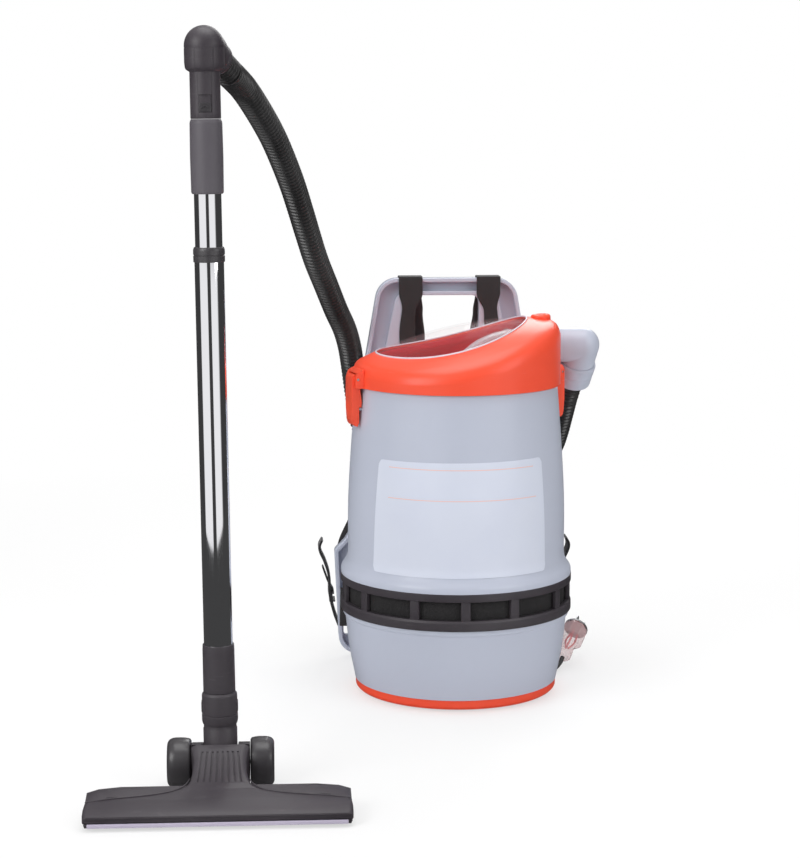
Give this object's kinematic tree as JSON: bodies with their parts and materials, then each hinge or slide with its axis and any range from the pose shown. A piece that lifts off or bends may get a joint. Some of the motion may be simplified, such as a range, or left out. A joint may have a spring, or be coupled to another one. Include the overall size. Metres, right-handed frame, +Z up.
{
  "type": "backpack vacuum cleaner",
  "caption": "Backpack vacuum cleaner: round drum with a domed latched lid on a padded harness frame, ribbed hose, telescopic chromed wand and a wheeled floor tool.",
  "frame": {"origin": "on the drum's axis, at the level its feet stand on, 3 mm under the flat underside of the base pan", "axes": "+Z up along the drum's axis, +Y towards the wearer's back (the harness side), +X to the side of the hose elbow"},
  "size_m": [0.6883, 0.8793, 0.9088],
  "materials": {
    "black_plastic": "fine-grained black moulding",
    "black_webbing": "black webbing and padded cloth",
    "bristle": "strip of dark bristles",
    "bumper": "pale soft bumper strip",
    "chromed_tube": "polished chromed steel tube",
    "clear_plastic": "clear polycarbonate",
    "clear_plug": "clear, slightly pink rubber-like plastic",
    "copper_winding": "varnished copper windings",
    "filter_cloth": "off-white filter fleece",
    "filter_foam": "dark open foam",
    "gloss_black": "glossy black moulding",
    "grey_plastic": "satin light grey moulding",
    "hose_plastic": "glossy black ribbed hose",
    "orange_plastic": "glossy orange moulding",
    "red_liner": "glossy red moulding",
    "rubber": "matte black rubber",
    "steel": "bare steel",
    "textured_grip": "finely textured black grip"
  },
  "bodies": {
    "drum_and_harness": {"back_pad": "black_webbing", "bag_hoop": "black_plastic", "base_pan": "orange_plastic", "bracket_lower": "grey_plastic", "bracket_upper": "grey_plastic", "cord_gland": "rubber", "drum_shell": "grey_plastic", "exhaust_filter": "filter_foam", "exhaust_ring": "black_plastic", "filter_bag": "filter_cloth", "harness_frame": "grey_plastic", "hip_belt_left": "black_webbing", "hip_belt_right": "black_webbing", "hose_lower": "hose_plastic", "hose_upper": "hose_plastic", "intake_grille": "black_plastic", "lead_cord": "rubber", "lead_plug": "clear_plug", "lower_shell": "grey_plastic", "lower_tube": "chromed_tube", "lumbar_pad": "black_webbing", "motor_case": "steel", "motor_mount": "rubber", "motor_seal": "rubber", "motor_stator": "copper_winding", "neck_sleeve": "black_plastic", "plug_pins": "steel", "shoulder_strap_left": "black_webbing", "shoulder_strap_right": "black_webbing", "switch_body": "black_plastic"},
    "lid": {"lid_shell": "orange_plastic", "lid_window": "clear_plastic", "lid_gasket": "rubber", "lid_liner": "red_liner", "inlet_duct": "clear_plastic", "inlet_elbow": "grey_plastic", "latch_left_pin": "steel", "latch_right_pin": "steel"},
    "elbow_cuff": {"elbow_cuff": "grey_plastic"},
    "latch_left": {"latch_left": "orange_plastic"},
    "latch_right": {"latch_right": "orange_plastic"},
    "motor_rotor": {"motor_fan": "steel"},
    "switch_rocker": {"switch_rocker": "red_liner"},
    "tube_lock": {"tube_collar": "gloss_black"},
    "wand_handle": {"upper_tube": "chromed_tube", "grip_sleeve": "textured_grip", "handle_body": "black_plastic"},
    "bleed_slider": {"bleed_slider": "gloss_black"},
    "handle_hose_cuff": {"hose_cuff": "black_plastic"},
    "wand_neck": {"swivel_collar": "black_plastic", "neck_yoke": "black_plastic"},
    "floor_head": {"tool_cover": "black_plastic", "tool_base": "black_plastic", "brush_front": "bristle", "brush_rear": "bristle", "bumper_strip": "bumper", "axle_left": "steel", "axle_right": "steel"},
    "wheel_left": {"wheel_left": "gloss_black"},
    "wheel_right": {"wheel_right": "gloss_black"}
  },
  "joints": [
    {"name": "motor_spin", "type": "hinge", "parent": "drum_and_harness", "child": "motor_rotor", "pos_m": [0, 0, 0.1264], "axis": [0, 0, 1], "continuous": true},
    {"name": "lid_lift", "type": "slide", "parent": "drum_and_harness", "child": "lid", "axis": [0, 0, 1], "range_m": [0, 0.1]},
    {"name": "elbow_cuff_turn", "type": "hinge", "parent": "lid", "child": "elbow_cuff", "pos_m": [0.17875, 0.06035, 0.45987], "axis": [-0.1492, 0.5386, -0.8292], "continuous": true},
    {"name": "latch_left_swing", "type": "hinge", "parent": "lid", "child": "latch_left", "pos_m": [-0.14634, -0.03921, 0.4485], "axis": [-0.2588, 0.9659, 0], "range_deg": [0, 90]},
    {"name": "latch_right_swing", "type": "hinge", "parent": "lid", "child": "latch_right", "pos_m": [0.14634, 0.03921, 0.4485], "axis": [0.2588, -0.9659, 0], "range_deg": [0, 20]},
    {"name": "switch_rock", "type": "hinge", "parent": "drum_and_harness", "child": "switch_rocker", "pos_m": [-0.12959, 0.08098, 0.07], "axis": [0.5299, 0.848, 0], "range_deg": [0, 14]},
    {"name": "tube_lock_pull", "type": "slide", "parent": "drum_and_harness", "child": "tube_lock", "axis": [0.0105, 0, -0.9999], "range_m": [0, 0.006], "stiffness_N_per_m": 200, "springref_m": -0.002},
    {"name": "telescope", "type": "slide", "parent": "drum_and_harness", "child": "wand_handle", "axis": [-0.0105, 0, 0.9999], "range_m": [0, 0.36]},
    {"name": "bleed_slide", "type": "slide", "parent": "wand_handle", "child": "bleed_slider", "axis": [-0.0105, 0, 0.9999], "range_m": [0, 0.009]},
    {"name": "handle_hose_turn", "type": "hinge", "parent": "wand_handle", "child": "handle_hose_cuff", "pos_m": [-0.32121, -0.41166, 0.87393], "axis": [0.3308, 0.872, -0.3608], "continuous": true},
    {"name": "neck_turn", "type": "hinge", "parent": "drum_and_harness", "child": "wand_neck", "pos_m": [-0.32352, -0.44, 0.08], "axis": [-0.0105, 0, 0.9999], "continuous": true},
    {"name": "head_tilt", "type": "hinge", "parent": "wand_neck", "child": "floor_head", "pos_m": [-0.323, -0.44, 0.0303], "axis": [1, 0, 0], "range_deg": [0, 70]},
    {"name": "wheel_left_spin", "type": "hinge", "parent": "floor_head", "child": "wheel_left", "pos_m": [-0.3588, -0.44, 0.0303], "axis": [1, 0, 0], "continuous": true},
    {"name": "wheel_right_spin", "type": "hinge", "parent": "floor_head", "child": "wheel_right", "pos_m": [-0.2872, -0.44, 0.0303], "axis": [1, 0, 0], "continuous": true}
  ]
}
